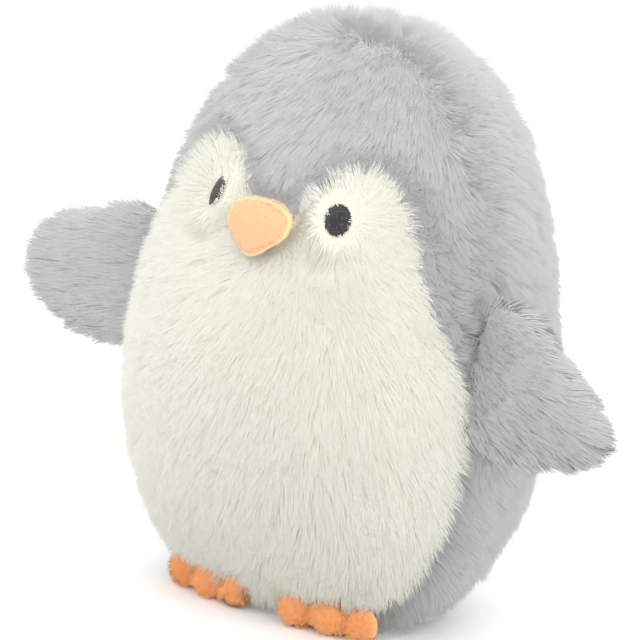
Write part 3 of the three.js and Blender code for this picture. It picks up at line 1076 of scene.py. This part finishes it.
SHORT_PILE = {
    "Density": 6e6,
    "Length": 1.9 * MM,
    "Width": 0.3 * MM,
    "Bow": 1.0,
    "Tuft spacing": 1.4 * MM,
    "Tuft pull": 0.5,
    "Tuft stray": 0.4,
    "Hair stray": 0.5,
    "Softness": 0.6,
    "Finish": PEACH_PILE,
}
beak_cushion = painted(beak_skin, PEACH_CLOTH)
beak_cushion.name = "beak_cushion"
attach(beak_cushion, "body")
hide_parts("beak_cover", "beak_filling")
beak_pile = grow("beak_pile", beak.sheet("beak_pile", beak.panel_of == 0, values), SHORT_PILE, 80)
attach(beak_pile, "body")
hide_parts("beak_cover")

# %% Beak rim
RIM_SPOKES = 60
RIM_RADIUS = 1.5 * MM


def rim_loop():
    """The widest points of the beak's front, all the way round."""
    spots, front = beak.places, beak.places[:, 1] < np.percentile(beak.places[:, 1], 70)
    away = spots - spots[front].mean(0)
    loop = []
    for spoke in range(RIM_SPOKES):
        angle = 2 * math.pi * spoke / RIM_SPOKES
        reach = away @ np.array((math.cos(angle), -0.25, math.sin(angle)))
        reach[~front] = -1
        loop.append(spots[np.argsort(reach)[-6:]].mean(0))
    loop = np.array(loop)
    for _ in range(4):
        loop = (np.roll(loop, 1, 0) + 2 * loop + np.roll(loop, -1, 0)) / 4
    return loop


curve = bpy.data.curves.new("beak_rim", "CURVE")
curve.dimensions, curve.bevel_depth, curve.bevel_resolution = "3D", RIM_RADIUS, 3
line = curve.splines.new("NURBS")
line.points.add(RIM_SPOKES - 1)
line.use_cyclic_u, line.order_u = True, 4
for point, spot in zip(line.points, rim_loop()):
    point.co = (*spot, 1)
path = placed("beak_rim_path", curve)
rim_mesh = bpy.data.meshes.new_from_object(path.evaluated_get(bpy.context.evaluated_depsgraph_get()))
bpy.data.objects.remove(path)
rim = painted(placed("beak_rim", rim_mesh), PEACH_CLOTH)
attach(rim, "body")
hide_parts("beak_cover")

# %% [markdown]
# ## Feet
# Each foot is a padded pillow with three toes, in orange plush with a curly pile of about 4 mm,
# on a flat sole. The heel is bare, because it lies against the belly and has to tilt there.

# %% Feet
FOOT_TUCK = -0.5 * MM
FOOT_NARROWING = 0.82
FOOT_SHIFT = {"left": 2 * MM, "right": 4 * MM}
FOOT_SHORTENING = 0.78
FOOT_PLUMPING = 2.6 * MM
FOOT_HEIGHTENING = 1.15
BARE_HEEL = 9 * MM, 5 * MM
CURLY_PILE = {
    "Density": 6e6,
    "Length": 4.2 * MM,
    "Width": 0.32 * MM,
    "Bow": 3.5,
    "Tuft spacing": 2.4 * MM,
    "Tuft pull": 0.6,
    "Tuft stray": 0.6,
    "Hair stray": 0.5,
    "Softness": 0.6,
    "Finish": ORANGE_PILE,
}
for number, side in enumerate(("left", "right")):
    names = ["foot_" + side + "_" + part for part in ("cover", "sole", "filling")]
    piece = evened("foot_skin_" + side, [names[2]], 2.4 * MM, 8)
    places, normals = places_of(piece.data), vertex_normals(piece.data)
    places += normals * FOOT_PLUMPING * (1 - eased(normals[:, 1], -0.3, 0.4))[:, None]
    heel = places[:, 1].max() + FOOT_TUCK
    places[:, 1] = heel + (places[:, 1] + FOOT_TUCK - heel) * FOOT_SHORTENING
    places[:, 2] = np.maximum(places[:, 2] * FOOT_HEIGHTENING, 0.8 * MM)
    middle = places[:, 0].mean()
    places[:, 0] = middle + (places[:, 0] - middle) * FOOT_NARROWING + FOOT_SHIFT[side]
    move_to(piece.data, places)
    on_sole = places[:, 2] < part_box(names[2])[0].z + FLOOR_BAND
    inflated(piece, on_sole.astype(float), 8, 0.8 * MM)
    subdivided(piece)
    foot = Skin(piece, [(names[0],), (names[1],)])
    cushion = painted(piece, ORANGE_CLOTH)
    cushion.name = "foot_cushion_" + side
    flow = stacked(0, -1, -0.4 + 0 * foot.places[:, 0]) + wander(foot.places, 8 * MM, 9)
    at_heel = eased(foot.places[:, 1], *(heel - ahead for ahead in BARE_HEEL))
    values = {
        "comb": combed(foot.normals, flow, 0.55),
        "reach": np.ones(len(foot.places)),
        "cover": np.where(foot.normals[:, 2] < -0.6, 0.3, 1.0) * (1 - at_heel),
    }
    sheet = foot.sheet("foot_pile_" + side, foot.panel_of == 0, values)
    pile = grow("foot_pile_" + side, sheet, CURLY_PILE, 90 + number)
    sole = foot.shell("foot_sole_" + side, 1, ORANGE_CLOTH)
    for part in (cushion, pile, sole):
        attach(part, "foot_" + side)
    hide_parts(names[0], names[2])
    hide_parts(names[0])
    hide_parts(names[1])

# %% [markdown]
# ## Embroidered eyes
# Each eye is satin stitch: side by side threads over a low pad. One tree lays the threads along
# the eye, each as long as the oval is there, and bends them over the pad.

# %% The satin stitch tree
STITCH_NUMBERS = ("Half width", "Half height", "Crown", "Thread", "Ragged")


def stitch_tree():
    g, given = new_tree("satin_stitch", "Stitches", "Pad", STITCH_NUMBERS)
    half, tall, thread = given["Half width"], given["Half height"], given["Thread"]
    rows = g.node("ShaderNodeMath", {"operation": "ROUND"}, {0: half * 2 / (thread * 0.8)})
    start, end = g.xyz(half * -0.98, 0.0), g.xyz(half * 0.98, 0.0)
    ends = {"Count": rows, "Start Location": start, "Offset": end}
    line = g.node("GeometryNodeMeshLine", {"mode": "END_POINTS"}, ends)
    place = g.node("GeometryNodeInputPosition")
    x, y, z = g.node("ShaderNodeSeparateXYZ", None, {0: place}, (0, 1, 2))
    share = x / half
    chord = (1 - share * share) ** 0.5 * tall + given["Ragged"] * g.chance(-1.0, 1.0, given["Seed"] + 1)
    rod = g.node(
        "GeometryNodeMeshCylinder", None, {"Vertices": 6, "Side Segments": 8, "Radius": 1.0, "Depth": 2.0}
    )
    laid = g.node("GeometryNodeTransform", None, {"Geometry": rod, "Rotation": (math.pi / 2, 0, 0)})
    size = g.xyz(thread * 0.5, chord, thread * 0.5)
    turn = g.xyz(0.0, 0.0, g.chance(-0.05, 0.05, given["Seed"] + 2))
    placing = {"Points": line, "Instance": laid, "Rotation": turn, "Scale": size}
    threads = g.node("GeometryNodeInstanceOnPoints", None, placing)
    real = g.node("GeometryNodeRealizeInstances", None, {"Geometry": threads})
    rise = 1 - share * share - (y / tall) * (y / tall)
    rise = g.node("ShaderNodeMath", {"operation": "MAXIMUM"}, {0: rise, 1: -0.2})
    lifted = g.xyz(x, y, z + given["Crown"] * rise)
    bent = g.node("GeometryNodeSetPosition", None, {"Geometry": real, "Position": lifted})
    smooth = g.node("GeometryNodeSetShadeSmooth", None, {"Geometry": bent})
    return finished(g, smooth, given["Finish"])


STITCH_TREE = stitch_tree()
EYE_CROWN = 1.3 * MM
PAD_RINGS, PAD_SPOKES = 8, 40
PAD_SHARE = 0.97


def eye_pad(name, half, tall):
    """A low closed oval pad in its own frame: x across, y up, z out."""
    edit = bmesh.new()
    bmesh.ops.create_uvsphere(edit, u_segments=PAD_SPOKES, v_segments=2 * PAD_RINGS, radius=1)
    for v in edit.verts:
        v.co = Vector((v.co.x * half, v.co.y * tall, v.co.z * EYE_CROWN * 0.9))
    mesh = bpy.data.meshes.new(name)
    edit.to_mesh(mesh)
    edit.free()
    return mesh


for number, side in enumerate(eyes):
    centre, across, up, out = eyes[side]
    half, tall = eye_size(side)
    stitches = run_tree(
        placed("eye_stitches_" + side, eye_pad("pad", half, tall)),
        STITCH_TREE,
        {
            "Half width": float(half),
            "Half height": float(tall),
            "Crown": EYE_CROWN,
            "Thread": 0.42 * MM,
            "Ragged": 0.35 * MM,
            "Seed": 100 + number,
            "Finish": DARK_THREAD,
        },
    )
    pad_mesh = eye_pad("eye_pad_" + side, half * PAD_SHARE, tall * PAD_SHARE)
    pad = painted(placed("eye_pad_" + side, pad_mesh), DARK_THREAD)
    rows = np.stack([across, up, out], 1).tolist()
    frame_matrix = Matrix([[*row, c] for row, c in zip(rows, centre)] + [[0, 0, 0, 1]])
    for part in (stitches, pad):
        part.data.transform(frame_matrix)
        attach(part, "body")
        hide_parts("eye_" + side)
    pieces[stitches.name] = stitches
print("eyes stitched")

# %% Sizes
print("triangles:", sum(len(p.vertices) - 2 for o in pieces.values() for p in o.data.polygons))
